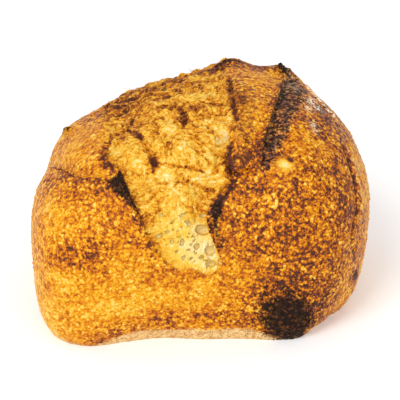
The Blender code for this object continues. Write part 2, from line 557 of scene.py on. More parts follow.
@dataclass(frozen=True)
class Relief:
    """Every fold, swelling, bubble and patch of bake that has a place of its own.

    Places are x, y, wide, tall and turn of an oval.  A swell's row starts with its
    height, a bubble's with its depth and shade, a patch's with its amount, and a
    crease's with its width, depth, toast, char, flour and spread, before its spots.
    """

    left_fold: Spots = ((-54, -19), (-63, -18), (-69, -15), (-76, -14), (-86, -9),
                        (-103, 3), (-120, 13), (-138, 24))
    ear: Spots = ((40, -12), (40, -2), (41, 6), (42, 14), (45, 25), (49, 39), (55, 57),
                  (62, 78), (68, 98), (70, 112))
    ear_back: Spots = ((74, 112), (84, 102), (85, 82), (77, 58), (66, 36), (58, 20),
                       (50, 4), (45, -8))
    step: Spots = ((17, -20), (20, -13), (25, -9), (31, -7), (37, -9))
    wedge: Spots = ((-56, -11), (-53, -18), (-49, -26), (-45, -35), (-42, -45), (-44, -42),
                    (-49, -33), (-54, -27), (-59, -22), (-60, -16))
    lip: Spots = ((5, -41), (8, -36), (13, -38), (11, -47), (10, -56), (13, -65),
                  (11, -68), (9, -61), (6, -54), (5, -48))
    knobs: Spots = ((26, 12), (33, 20), (26, 27), (32, 35), (26, 43), (33, 51), (27, 60),
                    (32, 70), (25, 78), (31, 2))
    knob_size: tuple[float, float] = (3.2, 3.6)
    knob_height: float = 1.8
    pinholes: int = 46
    pinhole_depth: float = 0.9
    swells: tuple = (
        (4.2, 65, 115, 2.2, 2.4), (2.6, 72, 112, 2, 2), (1.6, 19, 124, 5, 4),
        (1.8, 12, 122, 2.5, 3), (1.4, 28, 122, 3, 3), (1.2, -12, 118, 3, 3), (1.4, -48, 116, 4, 3),
        (3.2, -120, 59, 4.5, 3), (1.8, 127, -70, 5, 5), (4, -53, 8, 12, 20, 14),
        (2.6, -15, 5, 13, 13), (2.4, -42, 56, 13, 12), (1.8, -3, 58, 12, 12),
        (2, -20, -32, 13, 10),
    )
    # Crease darkening is painted shade in the folds; the raised ridges on the right with negative
    # toast get a painted highlight beside their flour.
    creases: tuple = (
        ((1.7, 0.9, 0.5, 0.26), (28, -10), (23, -17), (19, -26), (13, -33), (8, -40)),
        ((1.7, 2.2, 0.45, 0.12, 0, 1.3), (21, 96), (21, 82), (22, 66), (22, 55), (23, 42),
         (24, 28)),
        ((1.8, 1.4, 0.4, 0.2, 0, 1.1), (18, 16), (20, 10), (19, 2), (20, -6), (19, -14)),
        ((1.5, 1.6, 0.45, 0.12), (99, 26), (102, 16), (104, 3), (106, -11), (107, -25),
         (104, -38), (106, -48), (116, -58)),
        ((2, -1, -0.15, 0, 0.22), (104, 24), (107, 14), (109, 2), (111, -12), (112, -26),
         (109, -38)),
        ((1.5, -1.1, -0.25, 0, 2.3), (88, 104), (91, 92), (93, 76), (97, 65), (107, 52)),
        ((1.6, 1.5, 0.4, 0, 0, 1.2), (-56, -9), (-63, -6), (-68, 0), (-70, 11), (-71, 22),
         (-70, 30), (-64, 33), (-56, 28)),
        ((2, 2, 0.34, 0, 0, 1.3), (-62, 33), (-54, 25), (-48, 18), (-42, 9), (-37, 0), (-36, -12)),
        ((1.4, 1.2, 0.22), (-27, -5), (-28, 6), (-23, 16), (-17, 20), (-9, 18), (-1, 12), (6, 6),
         (12, 0)),
        ((0.9, 0.6, 0.18), (-24, -4), (-24, 6), (-19, 14), (-12, 16), (-4, 10), (2, 2)),
        ((1.3, 1, 0.25), (-8, 27), (-2, 30), (5, 25), (9, 17)),
        ((1.3, 1.6, 0.45), (-61, 34), (-60, 47), (-59, 62), (-54, 72), (-43, 78), (-25, 75),
         (-8, 77)),
        ((2, 2, 0.32, 0, 0, 1.2), (-39, 50), (-34, 57), (-24, 54), (-17, 46), (-15, 36),
         (-17, 26)),
        ((1.2, 1.1, 0.34), (-34, -5), (-22, -8), (-13, -9), (-5, -11), (3, -14)),
        ((1.1, 0.8, 0.3), (-8, 5), (-1, 0), (6, -5)),
        ((1.4, 1, 0.2), (-34, -22), (-24, -20), (-12, -20), (0, -24), (8, -26)),
        ((1.7, 1.4, 0.5), (-112, 74), (-92, 84), (-72, 93), (-58, 104), (-40, 106)),
        ((1.4, 1.2, 0.48), (-96, 62), (-80, 76), (-66, 86), (-50, 92), (-30, 95)),
        ((1.3, 1, 0.28), (-84, 50), (-74, 66), (-64, 80), (-48, 84), (-30, 85)),
        ((1.5, 1.4, 0.5), (-60, 112), (-42, 110), (-24, 106), (-8, 108)),
        ((0.8, 0.9, 0.25), (8, 11), (13, 15), (20, 20)),
        ((0.7, 0.7, 0.2), (10, 22), (14, 17), (15, 9)),
    )
    bubbles: tuple = (
        (3, 0.16, 14, 16, 6.5, 7.5, 20), (2.8, 0.8, -2, -56, 5.6, 4.4, -10),
        (2.2, 0.7, -6, -68, 3, 3), (3, 0.9, 4, -72, 4, 4), (2.8, 0.85, 5, -82, 3.8, 3),
        (2, 0.8, 12, -80, 1.6, 2.8), (1.8, 0.7, -2, -77, 2, 1.6), (1.4, 0.6, -10, -77, 1.7, 1.3),
        (1.6, 0.75, -17, -64, 1.7, 2.9), (1.6, 1, -27, -55, 1.5, 1.5),
        (1.2, 0.75, -32, -57, 2.8, 1.8), (1.5, 1, -16, -75, 1.4, 1.4),
        (1.4, 0.75, -2, -45, 2.1, 1.8), (1.8, 1, -12, -50, 1.6, 3.2, 35),
        (1.4, 1, -17, -44, 1.6, 1.4), (1.4, 0.9, -31, -43, 1.3, 1.5),
        (1.2, 0.9, -24, -62, 0.9, 2.4), (1, 0.6, -12, -70, 1.1, 1.1), (1, 0.6, -21, -70, 1.2, 1),
        (1, 0.6, -3, -76, 1.1, 1.2), (1, 0.55, -9, -60, 1.2, 1.2), (1, 0.6, -24, -49, 1.2, 1),
        (1.8, 0, 54, -5, 4.8, 4.4),
    )
    patches: tuple = (
        (Bake.CRUMB, (
            (0.8, 29, 40, 7, 28, -4), (2, 54, -5, 4.2, 3.8),
        )),
        (Bake.TOAST, (
            (0.14, 29, 40, 8, 30, -4), (0.5, -62, 19, 3, 3), (0.45, -48, 19, 4, 3, -40),
            (0.5, -36, -6, 3, 5), (-0.08, -15, 5, 10, 10), (0.3, -16, 38, 3, 6),
            (0.36, -9, 48, 5, 3, -20), (0.3, -34, 99, 12, 3, 8), (0.22, -84, 80, 34, 22, 40),
            (0.1, -60, 40, 10, 18), (0.16, -44, 30, 12, 12), (-0.08, 6, 70, 12, 10),
            (-0.4, 14, 16, 6.5, 7.5, 20), (-0.2, 54, -5, 4.5, 4.5), (0.95, 57, -2, 2.6, 1.3, -40),
            (0.24, -74, -58, 12, 9), (0.14, -84, -19, 22, 7, -20), (0.08, -58, -48, 16, 14),
            (0.1, -100, -4, 18, 14), (0.14, -42, -62, 5, 24, 32), (-0.2, -108, -85, 18, 30),
            (-0.14, -56, -98, 30, 14), (-0.1, -14, -104, 22, 9), (-0.1, -96, -30, 10, 24, 10),
            (0.22, -70, -117, 34, 5), (0.19, 10, -124, 60, 5), (0.24, 46, -48, 44, 36),
            (0.25, 92, -20, 34, 44), (0.2, 92, -92, 40, 22), (-0.12, 36, -88, 16, 14),
            (0.42, 66, -108, 28, 26), (0.6, 127, -70, 8, 7), (0.4, 42, 120, 34, 8),
            (0.16, 27, 84, 7, 22), (0.34, 26, 50, 5, 12), (0.18, -46, 112, 30, 6),
            (0.14, 28, 10, 12, 22), (0.08, 36, 60, 14, 34), (-0.1, 70, 10, 16, 12),
            (0.12, 84, 34, 16, 20), (0.32, 98, 58, 24, 38), (-0.1, 122, 0, 12, 50),
            (0.16, -10, 122, 60, 12), (-0.16, -8, -68, 20, 20, 35), (0.16, -22, -76, 6, 14, 50),
            (-0.14, 2, -70, 12, 16, 20), (0.12, 2, -90, 16, 3.5),
        )),
        (Bake.MOIST, (
            (0.6, 14, 16, 6, 7, 20), (1.4, 54, -5, 6, 6), (1.1, -10, -66, 22, 20, 35),
        )),
        (Bake.CHAR, (
            (0.2, 47, 24, 4, 22, -14), (0.26, 62, 74, 4, 26, -16), (-0.2, 76, 50, 6, 16, -20),
            (0.16, 13, -46, 6, 10, -10), (1.2, 68, -113, 19, 20), (0.7, -120, 59, 5, 4),
            (0.9, 67, 115, 6, 5), (0.55, 19, 124, 9, 6), (0.26, 42, 122, 26, 5),
            (0.42, 22, 80, 3.5, 10),
        )),
        (Bake.FLOUR, (
            (0.14, 76, 94, 7, 13, -14), (1.2, 85, 67, 6, 3.5, 60), (1.05, 88, 58, 3.5, 5),
            (0.75, 79, 52, 3, 4), (0.85, 78, 31, 2.5, 5),
        )),
    )

    def _ledges(self) -> list[Feature]:
        """The left fold, the ear and the step under it, with a crease along the fold and one along
        the ear; the fold's crease is darkened as painted shade.
        """
        left, ear, step = Line(self.left_fold), Line(self.ear), Line(self.step)
        return [
            Ledge(left, 2.0, 1.8, overhang=1.4, toast=0.20),
            Ledge(ear, 1.6, 3.0, reach=10.0, toast=0.12, toast_reach=4.0),
            Ledge(step, 0.6, 2.2, reach=5.0, overhang=1.6, toast=0.3),
            Crease(left, 1.1, 0.5, toast=0.42),
            Crease(ear, 2.0, -1.2),
        ]

    def _stains(self) -> list[Feature]:
        """The burnt ear, the burnt wedge at the left lip and the burnt right lip."""
        ear = Line(self.ear + self.ear_back, closed=True)
        wedge, lip = Line(self.wedge, closed=True), Line(self.lip, closed=True)
        return [
            Stain(ear, Bake.CHAR, 0.43), Stain(ear, Bake.TOAST, 0.36, 6.0),
            Stain(ear, Bake.FLOUR, 0.05), Stain(wedge, Bake.CHAR, 0.80, 1.6),
            Stain(wedge, Bake.TOAST, 0.30, 4.5), Stain(lip, Bake.CHAR, 0.62, 3.0),
            Stain(lip, Bake.TOAST, 0.40, 7.0),
        ]

    def _pinholes(self) -> list[Feature]:
        """Tiny burst bubbles, strewn down the moist crumb."""
        draw = np.random.default_rng(21)
        found = []
        for _ in range(self.pinholes):
            along, off = draw.uniform(0, 1), np.clip(draw.normal(0, 0.42), -0.9, 0.6)
            x, y = -22 + 30 * along + 15 * off, -46 - 36 * along + 8 * off
            hole = Oval(x, y, *draw.uniform(0.6, 1.3, 2))
            found.append(Bubble(hole, self.pinhole_depth, draw.uniform(0.25, 0.8)))
        return found

    def features(self) -> list[Feature]:
        """Everything that is worked into the dough."""
        found = self._ledges() + self._pinholes() + self._stains()
        found += [Swell(Oval(*spot, *self.knob_size), self.knob_height) for spot in self.knobs]
        found += [Swell(Oval(*place), height) for height, *place in self.swells]
        found += [Crease(Line(tuple(spots)), *marks) for marks, *spots in self.creases]
        found += [Bubble(Oval(*place), depth, shade) for depth, shade, *place in self.bubbles]
        for kind, rows in self.patches:
            found += [Patch(Oval(*place), kind, amount) for amount, *place in rows]
        return found


# ---------------- the skin


@dataclass(frozen=True)
class FineSurface:
    """The fine surface: blistered crust, puffy crumb and a floured sole; sizes in metres."""

    swelling: float = 0.030
    blister: float = 0.0034
    fine: float = 0.0022
    shade: float = 0.024
    back_shades: tuple[float, float] = (0.050, 0.018)
    char: float = 0.004
    rings: tuple[float, float] = (0.022, 0.009)
    drift: float = 0.026
    wobble: float = 0.006
    puff: float = 0.0080
    small_puff: float = 0.0042
    knot: float = 0.0032
    tone: float = 0.011
    sole_band: float = 0.0085
    sole_wave: float = 0.012
    arch_left: float = -0.066
    arch_right: float = 0.052

    def grain(self, dough: Dough) -> None:
        """Blisters and tones the crust, puffs and strings the crumb, and paints shade into the
        crumb's cracks.
        """
        grain, points, bake = Grain(11), dough.points, dough.bake
        crumb = bake[Bake.CRUMB]
        moist = np.clip(bake[Bake.MOIST], 0, 1)
        broad = grain.layered(points, self.swelling, 2)
        pebble = 1 - grain.cells(points, self.blister)[0]
        fine = grain.smooth(points + 0.3, self.fine)
        dough.rise += (1 - crumb) * (0.55 * broad + 0.45 * (pebble - 0.5) + 0.16 * fine)
        bake[Bake.TOAST] += (1 - crumb) * 0.10 * grain.layered(points + 5, self.shade)
        behind = ease((np.linalg.norm(dough.spots, axis=1) - 120) / 60)
        wide, narrow = self.back_shades
        shades = 0.22 * grain.smooth(points + 8, wide) + 0.10 * grain.smooth(points, narrow)
        bake[Bake.TOAST] += behind * shades
        dough.rise += bake[Bake.CHAR] * 0.5 * grain.layered(points + 6, self.char, 2)
        bent = points + 0.0016 * np.column_stack(
            [grain.smooth(points + shift, self.wobble) for shift in (4, 5, 6)])
        puff = np.minimum(np.abs(grain.smooth(bent, self.puff)), 0.6)
        small = np.minimum(np.abs(grain.smooth(bent + 0.5, self.small_puff)), 0.5)
        knots = 1 - grain.cells(bent + 2, self.knot)[0]
        dough.rise += crumb * (1 - 0.9 * moist) * (3.0 * puff + 1.5 * small - 1.0)
        dough.rise += crumb * (0.60 * (knots - 0.5) * (1 - 0.7 * moist) + 0.14 * fine)
        # Painted shade in the cracks between the crumb's puffs, stronger towards the roof.
        crack_shade = ease((0.10 - puff) / 0.10) + 0.7 * ease((0.08 - small) / 0.08)
        roof = ease((dough.spots[:, 1] - 10) / 70)
        tone = grain.layered(points + 9, self.tone, 2)
        browning_and_crack_shade = 0.16 * crack_shade * (1 + 0.6 * roof) + 0.02 + 0.16 * roof + 0.20 * tone
        bake[Bake.TOAST] += crumb * (browning_and_crack_shade + moist * (0.14 * tone - browning_and_crack_shade))
        self._flow(dough, grain)

    def _flow(self, dough: Dough, grain: Grain) -> None:
        """Lays out the way in which the crumb's strands run, in strand widths."""
        large, little = self.rings
        rings = 8.0 * grain.smooth(dough.points + 1.1, large)
        rings += 3.0 * grain.smooth(dough.points + 3, little)
        drift = 7.0 * grain.smooth(dough.points + 2.3, self.drift)
        x, y = dough.spots.T
        flow = np.column_stack([x * 0.6 + drift, y * 0.5 + rings, rings * 0])
        dough.flow = flow / np.array([2.2, 1.1, 1.0])

    def sole(self, dough: Dough) -> None:
        """Marks the pale floured band along the sole and calms its relief."""
        x, y, height = dough.points.T
        front = ease((-y - 0.03) / 0.03)
        arch = ease((x - self.arch_left) / 0.03) * ease((self.arch_right - x) / 0.026)
        level = self.sole_band * (0.10 + 0.90 * arch * front) + 0.0010 * (1 - front)
        wave = 0.0012 * Grain(5).layered(dough.points, self.sole_wave, 2)
        dough.bake[Bake.SOLE] = ease((level + wave - height) / 0.0016 + 0.5)
        dough.rise *= 1 - 0.75 * dough.bake[Bake.SOLE]


@dataclass(frozen=True)
class LoafSkin:
    """The whole loaf's skin, crust, crumb and sole, as one closed mesh."""

    node: str = "loaf"
    cells: int = 128
    forward: float = 0.045
    relax: int = 30
    foot_height: float = 0.018
    sole_height: float = 0.0004
    sheet_margin: float = 0.012
    beyond: float = 0.1
    rim_height: float = 0.004
    map: CrustMap = CrustMap()
    score: TornScore = TornScore()
    relief: Relief = Relief()
    surface: FineSurface = FineSurface()

    def _grid(self) -> tuple[Array, Array, Array]:
        """A cube's grid rounded into a ball, facing the middle of the map.

        Returns:
            Unit rays, quads, and the place of each quad corner on the bake sheet.
        """
        n = self.cells
        steps = np.tan((np.arange(n + 1) / n - 0.5) * math.pi / 2)
        across, along = np.meshgrid(steps, steps, indexing="ij")
        cell = np.indices((n, n)).reshape(2, -1).T
        rays, quads, sheet = [], [], []
        for axis, sign in product(range(3), (-1, 1)):
            face = np.full((n + 1, n + 1, 3), float(sign))
            face[..., (axis + 1) % 3] = across
            face[..., (axis + 2) % 3] = along
            ring = ((0, 0), (1, 0), (1, 1), (0, 1))[::sign]
            corners = np.stack([cell + np.array(step) for step in ring], axis=1)
            quads.append(corners @ (n + 1, 1) + len(rays) * (n + 1) ** 2)
            rays.append(face.reshape(-1, 3))
            inset = self.sheet_margin + corners / n * (1 - 2 * self.sheet_margin)
            sheet.append((inset + (axis, sign > 0)) / (3, 2))
        rays = np.vstack(rays)
        _, first, twins = np.unique(np.round(rays, 6), axis=0, return_index=True,
                                    return_inverse=True)
        order = np.argsort(first)
        quads = np.argsort(order)[twins.ravel()][np.vstack(quads)]
        rays = unit(rays[first[order]])
        middle, right, up = self.map.axes()
        turned = rays[:, :1] * right + rays[:, 1:2] * -middle + rays[:, 2:] * up
        return turned, quads, np.vstack(sheet)

    def _solid(self) -> BVHTree:
        """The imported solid, ready to be cast onto."""
        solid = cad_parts[self.node].data
        places = [vertex.co.copy() for vertex in solid.vertices]
        return BVHTree.FromPolygons(places, [tuple(f.vertices) for f in solid.polygons])

    def _cast(self, tree: BVHTree, rays: Array) -> Array:
        """Casts the rays onto the solid from a place behind the torn score.

        Args:
            tree: the solid.
            rays: n by 3 unit vectors.

        Returns:
            n by 3 points on the solid.
        """
        origin = Vector(self.map.heart) + Vector(self.map.axes()[0]) * self.forward
        found = np.empty((len(rays), 3))
        for row, ray in enumerate(rays):
            hit = tree.ray_cast(origin, Vector(ray))[0]
            found[row] = hit or tree.find_nearest(origin + Vector(ray) * self.beyond)[0]
        return found

    def _plant(self, tree: BVHTree, points: Array, edges: Array) -> Array:
        """Brings the last vertices of the sole out to the solid's foot.

        Args:
            tree: the solid.
            points: n by 3 points on the solid.
            edges: pairs of neighbours.

        Returns:
            The vertices that lie on the sole, as n truth values.
        """
        sole = points[:, 2] < self.sole_height
        mixed = edges[sole[edges[:, 0]] != sole[edges[:, 1]]]
        for row in np.unique(mixed[sole[mixed]]):
            x, y, _ = points[row]
            way = Vector((x - self.map.heart[0], y - self.map.heart[1], 0.0))
            hit = tree.ray_cast(Vector((x, y, self.sole_height)), way.normalized())[0]
            if hit is not None:
                points[row] = (hit.x, hit.y, 0.0)
        return sole

    @staticmethod
    def _edges(quads: Array) -> Array:
        """Pairs of neighbouring vertices, each pair once."""
        pairs = np.vstack([quads[:, [a, (a + 1) % 4]] for a in range(4)])
        return np.unique(np.sort(pairs, axis=1), axis=0)

    def _soften(self, points: Array, edges: Array, weight: Array) -> Array:
        """Averages each vertex with its neighbours, again and again.

        Args:
            points: n by 3 points.
            edges: pairs of neighbours.
            weight: how far each vertex goes to the average.

        Returns:
            n by 3 softened points.
        """
        count = len(points)
        here, there = edges.T
        links = np.bincount(edges.ravel(), minlength=count)[:, None]
        for _ in range(self.relax):
            total = [np.bincount(here, part[there], count) + np.bincount(there, part[here], count)
                     for part in points.T]
            points = points + (np.stack(total, axis=1) / links - points) * weight
        return points

    @staticmethod
    def _normals(points: Array, quads: Array) -> Array:
        """Outward normals of the vertices."""
        corner = points[quads]
        cross = np.cross(corner[:, 2] - corner[:, 0], corner[:, 3] - corner[:, 1])
        total = [sum(np.bincount(side, part, len(points)) for side in quads.T)
                 for part in cross.T]
        return unit(np.stack(total, axis=1))

    def _tangents(self, spots: Array, normals: Array) -> tuple[Array, Array]:
        """Directions along the skin that the map's right and up stand for."""
        probe = 0.5
        here = self.map.rays(spots)
        found = []
        for step in ([probe, 0.0], [0.0, probe]):
            way = self.map.rays(spots + np.array(step)) - here
            way -= normals * np.einsum("ij,ij->i", way, normals)[:, None]
            found.append(unit(way))
        return found[0], found[1]

    def build(self) -> Piece:
        """Casts, works and dresses the skin.

        Returns:
            The finished loaf.
        """
        rays, quads, sheet = self._grid()
        tree = self._solid()
        points = self._cast(tree, rays)
        edges = self._edges(quads)
        sole = self._plant(tree, points, edges)
        loose = 0.15 + 0.35 * ease(points[:, 2] / self.foot_height)
        points = self._soften(points, edges, np.where(sole, 0.0, loose)[:, None])
        normals = self._normals(points, quads)
        spots = self.map.spots(points)
        right, up = self._tangents(spots, normals)
        dough = Dough(points, normals, spots, right, up)
        self.score.apply(dough)
        for feature in self.relief.features():
            feature.apply(dough)
        self.surface.grain(dough)
        self.surface.sole(dough)
        rim = ease(points[:, 2] / self.rim_height)
        dough.rise *= rim
        dough.slide *= rim[:, None]
        worked = dough.worked()
        worked[:, 2] = np.maximum(worked[:, 2], 0.0)
        worked[sole, 2] = 0.0
        return self._mesh(worked, quads, sheet, dough)

    def _mesh(self, points: Array, quads: Array, sheet: Array, dough: Dough) -> Piece:
        """Makes the mesh with its bake sheet and attributes."""
        mesh = bpy.data.meshes.new("loaf_skin")
        mesh.from_pydata(points.tolist(), [], quads.tolist())
        mesh.shade_smooth()
        layer = mesh.uv_layers.new(name="OFBake")
        layer.data.foreach_set("uv", sheet.reshape(-1).astype(np.float32))
        for kind, values in dough.bake.items():
            attribute = mesh.attributes.new(kind.value, "FLOAT", "POINT")
            attribute.data.foreach_set("value", np.clip(values, -1, 1.5).astype(np.float32))
        flow = mesh.attributes.new("flow", "FLOAT_VECTOR", "POINT")
        flow.data.foreach_set("vector", dough.flow.reshape(-1).astype(np.float32))
        loaf = bpy.data.objects.new("loaf_skin", mesh)
        bpy.context.scene.collection.objects.link(loaf)
        mesh.materials.append(CrustFinish().material())
        return loaf


# ---------------- finishes


class NodeSheet:
    """A node tree while it is written."""

    def __init__(self, tree: bpy.types.NodeTree) -> None:
        """Takes the tree.

        Args:
            tree: a material's tree or a geometry tree.
        """
        self.tree = tree

    def add(self, kind: str, feeds: dict | None = None, **traits: object) -> bpy.types.Node:
        """Adds a node.

        Args:
            kind: the node's type.
            feeds: sockets or values for its inputs, by name or place.
            traits: settings of the node itself.

        Returns:
            The node.
        """
        node = self.tree.nodes.new(kind)
        for trait, value in traits.items():
            setattr(node, trait, value)
        for key, value in (feeds or {}).items():
            self.feed(node.inputs[key], value)
        return node

    def feed(self, target: Socket, value: object) -> None:
        """Joins a socket to a target, or sets the target's value."""
        if isinstance(value, Socket):
            self.tree.links.new(value, target)
        else:
            target.default_value = value

    def math(self, operation: str, a: object, b: object = 0.0, clamp: bool = False) -> Socket:
        """One step of arithmetic."""
        traits = {"operation": operation, "use_clamp": clamp}
        return self.add("ShaderNodeMath", {0: a, 1: b}, **traits).outputs[0]

    def times(self, a: object, b: object, clamp: bool = False) -> Socket:
        """Two values multiplied."""
        return self.math("MULTIPLY", a, b, clamp)

    def total(self, first: object, *others: object) -> Socket:
        """Values added up."""
        for other in others:
            first = self.math("ADD", first, other)
        return first

    def without(self, value: object) -> Socket:
        """What a share leaves of 1."""
        return self.math("SUBTRACT", 1.0, value)

    def span(self, value: object, low: float, high: float, to_low: float = 0.0,
             to_high: float = 1.0) -> Socket:
        """A value carried smoothly from one range to another."""
        feeds = {0: value, 1: low, 2: high, 3: to_low, 4: to_high}
        traits = {"interpolation_type": "SMOOTHSTEP"}
        return self.add("ShaderNodeMapRange", feeds, **traits).outputs[0]


class FinishSheet(NodeSheet):
    """A material while it is written."""

    def __init__(self, name: str) -> None:
        """Starts an empty material.

        Args:
            name: the material's name.
        """
        self.material = bpy.data.materials.new(name)
        self.material.use_nodes = True
        super().__init__(self.material.node_tree)
        self.shader = self.tree.nodes["Principled BSDF"]
        self.place = self.add("ShaderNodeTexCoord").outputs["Object"]

    def shade(self, **feeds: object) -> None:
        """Feeds the shader's inputs, named with _ for each space."""
        for name, value in feeds.items():
            self.feed(self.shader.inputs[name.replace("_", " ")], value)

    def attribute(self, name: str, output: str = "Fac") -> Socket:
        """Reads one of the skin's attributes."""
        return self.add("ShaderNodeAttribute", attribute_name=name).outputs[output]

    def blend(self, share: object, a: object, b: object) -> Socket:
        """A mix of two colours."""
        feeds = {0: share, 6: a, 7: b}
        return self.add("ShaderNodeMix", feeds, data_type="RGBA").outputs[2]

    def noise(self, size: float, detail: float, rough: float = 0.55, bend: float = 0.0,
              place: Socket | None = None) -> Socket:
        """Noise whose swellings are about size wide, in metres unless placed otherwise."""
        feeds = {"Vector": place or self.place, "Scale": 0.5 / size, "Detail": detail,
                 "Roughness": rough, "Distortion": bend}
        return self.add("ShaderNodeTexNoise", feeds).outputs["Fac"]

    def cells(self, size: float) -> tuple[Socket, Socket]:
        """Distance to the nearest seed of cells size metres wide, and a chance value."""
        seeds = self.add("ShaderNodeTexVoronoi", {"Vector": self.place, "Scale": 1.0 / size})
        split = self.add("ShaderNodeSeparateColor", {0: seeds.outputs["Color"]})
        return seeds.outputs["Distance"], split.outputs[0]

    def ramp(self, value: object, stops: tuple) -> Socket:
        """A colour ramp through (place, colour) stops."""
        node = self.add("ShaderNodeValToRGB", {"Fac": value})
        ends = node.color_ramp.elements
        for _ in stops[2:]:
            ends.new(0.5)
        for element, (place, colour) in zip(ends, stops):
            element.position = place
            element.color = colour
        return node.outputs["Color"]

    def bump(self, height: Socket, strength: float, reach: float) -> Socket:
        """A bump of a height."""
        feeds = {"Height": height, "Strength": strength, "Distance": reach}
        return self.add("ShaderNodeBump", feeds).outputs["Normal"]


def srgb(red: int, green: int, blue: int) -> tuple[float, ...]:
    """Linear colour, with its alpha, of three display values from 0 to 255."""
    shares = [value / 255 for value in (red, green, blue)]
    linear = [s / 12.92 if s <= 0.04045 else ((s + 0.055) / 1.055) ** 2.4 for s in shares]
    return (*linear, 1.0)


@dataclass(frozen=True)
class Patterns:
    """The fine patterns that crust, crumb and char share."""

    mottle: Socket
    speck: Socket
    chance: Socket
    streaks: Socket
    dry: Socket


@dataclass(frozen=True)
class CrustFinish:
    """Crust, crumb and sole in one finish, driven by the skin's bake."""

    crust_stops: tuple = (
        (0.00, srgb(246, 208, 100)), (0.16, srgb(240, 182, 34)), (0.34, srgb(228, 150, 6)),
        (0.50, srgb(210, 121, 4)), (0.66, srgb(178, 90, 10)), (0.82, srgb(130, 62, 22)),
        (1.00, srgb(80, 40, 26)),
    )
    crumb_stops: tuple = (
        (0.00, srgb(246, 230, 172)), (0.20, srgb(242, 202, 84)), (0.38, srgb(236, 174, 44)),
        (0.56, srgb(216, 136, 20)), (0.76, srgb(162, 88, 22)), (1.00, srgb(82, 40, 22)),
    )
    char: tuple = srgb(24, 12, 5)
    ember: tuple = srgb(112, 64, 26)
    sole: tuple = srgb(246, 212, 150)
    sole_dark: tuple = srgb(210, 156, 88)
    flour: tuple = srgb(250, 234, 206)
    pit: tuple = srgb(240, 216, 140)
    pit_edge_shade: tuple = srgb(178, 126, 36)
    base_toast: float = 0.41
    crumb_toast: float = 0.26
    mottle_size: float = 0.0012
    patch_size: float = 0.0066
    cell_size: float = 0.0017
    clump_size: float = 0.0034
    ember_size: float = 0.0011
    strand_size: float = 0.5

    def _crust(self, sheet: FinishSheet, toast: Socket, grain: Patterns) -> Socket:
        """Crust's colour: its toast, unevened by mottle, cells, clumps and patches, with painted
        glints.
        """
        patchy = sheet.noise(self.patch_size, 2.0)
        clump = sheet.cells(self.clump_size)[1]
        marks = sheet.total(
            sheet.span(grain.mottle, 0.30, 0.70, -0.23, 0.23),
            sheet.span(grain.speck, 0.10, 0.75, -0.11, 0.12),
            sheet.span(grain.chance, 0.0, 1.0, -0.11, 0.10),
            # Painted glints: a few random cells made much paler.
            sheet.span(grain.chance, 0.87, 0.92, 0.0, -0.34),
            sheet.span(patchy, 0.32, 0.68, -0.085, 0.075),
            sheet.span(clump, 0.0, 1.0, -0.07, 0.07),
        )
        bold = sheet.span(toast, -0.15, 0.35, 0.82, 1.52)
        level = sheet.total(toast, self.base_toast, sheet.times(marks, bold))
        return sheet.ramp(level, self.crust_stops)

    def _crumb(self, sheet: FinishSheet, toast: Socket, grain: Patterns) -> Socket:
        """Torn crumb's colour: its toast, drawn into strands where it is dry, and painted
        shade in its pits, dark at the edge and pale on the floor.
        """
        pit = sheet.attribute(Bake.PIT_SHADE.value)
        drawn = sheet.total(sheet.span(grain.streaks, 0.32, 0.68, -0.14, 0.18),
                            sheet.span(grain.mottle, 0.30, 0.70, -0.16, 0.20))
        drawn = sheet.times(drawn, sheet.span(toast, -0.10, 0.30, 0.85, 1.35))
        level = sheet.total(toast, self.crumb_toast, sheet.times(drawn, grain.dry))
        inside = sheet.ramp(level, self.crumb_stops)
        # Painted shade: the bubble's edge darkens, then its floor turns pale.
        inside = sheet.blend(sheet.span(pit, 0.05, 0.45, 0.0, 0.75), inside, self.pit_edge_shade)
        return sheet.blend(sheet.span(pit, 0.45, 0.80, 0.0, 0.80), inside, self.pit)

    def _burn(self, sheet: FinishSheet, colour: Socket, grain: Patterns) -> tuple[Socket, Socket]:
        """Chars a colour, and gives it and how far it is charred."""
        burnt = sheet.total(sheet.attribute(Bake.CHAR.value),
                            sheet.span(grain.mottle, 0.28, 0.72, -0.20, 0.18),
                            sheet.span(grain.chance, 0.0, 1.0, -0.12, 0.12))
        glow = sheet.span(sheet.noise(self.ember_size, 1.0, 0.5), 0.56, 0.72, 0.0, 0.7)
        share = sheet.times(sheet.span(burnt, 0.12, 0.66), 0.96)
        return sheet.blend(share, colour, sheet.blend(glow, self.char, self.ember)), share

    def material(self) -> Material:
        """Builds the finish.

        Returns:
            The material.
        """
        sheet = FinishSheet("crust")
        toast, crumb, sole, flour, moist = (
            sheet.attribute(kind.value)
            for kind in (Bake.TOAST, Bake.CRUMB, Bake.SOLE, Bake.FLOUR, Bake.MOIST))
        flow = sheet.attribute("flow", "Vector")
        mottle = sheet.noise(self.mottle_size, 2.5, 0.66, 0.6)
        grain = Patterns(mottle, *sheet.cells(self.cell_size),
                       sheet.noise(self.strand_size, 3.0, 0.65, 0.8, flow),
                       sheet.without(sheet.times(moist, 0.75, clamp=True)))
        colour = sheet.blend(crumb, self._crust(sheet, toast, grain),
                             self._crumb(sheet, toast, grain))
        under = sheet.blend(sheet.span(mottle, 0.34, 0.66), self.sole, self.sole_dark)
        colour, share = self._burn(sheet, sheet.blend(sole, colour, under), grain)
        dust = sheet.times(flour, sheet.span(mottle, 0.58, 0.42), clamp=True)
        rough = sheet.total(sheet.span(mottle, 0.3, 0.7, 0.30, 0.55), sheet.times(crumb, 0.15),
                            sheet.times(sheet.math("MAXIMUM", sole, share), 0.28))
        strands = sheet.times(sheet.times(grain.streaks, crumb), grain.dry)
        relief = sheet.total(sheet.times(grain.speck, -0.9), mottle, strands)
        sheet.shade(Base_Color=sheet.blend(dust, colour, self.flour), Roughness=rough,
                    Specular_IOR_Level=0.16, Normal=sheet.bump(relief, 0.6, 0.0011))
        return sheet.material


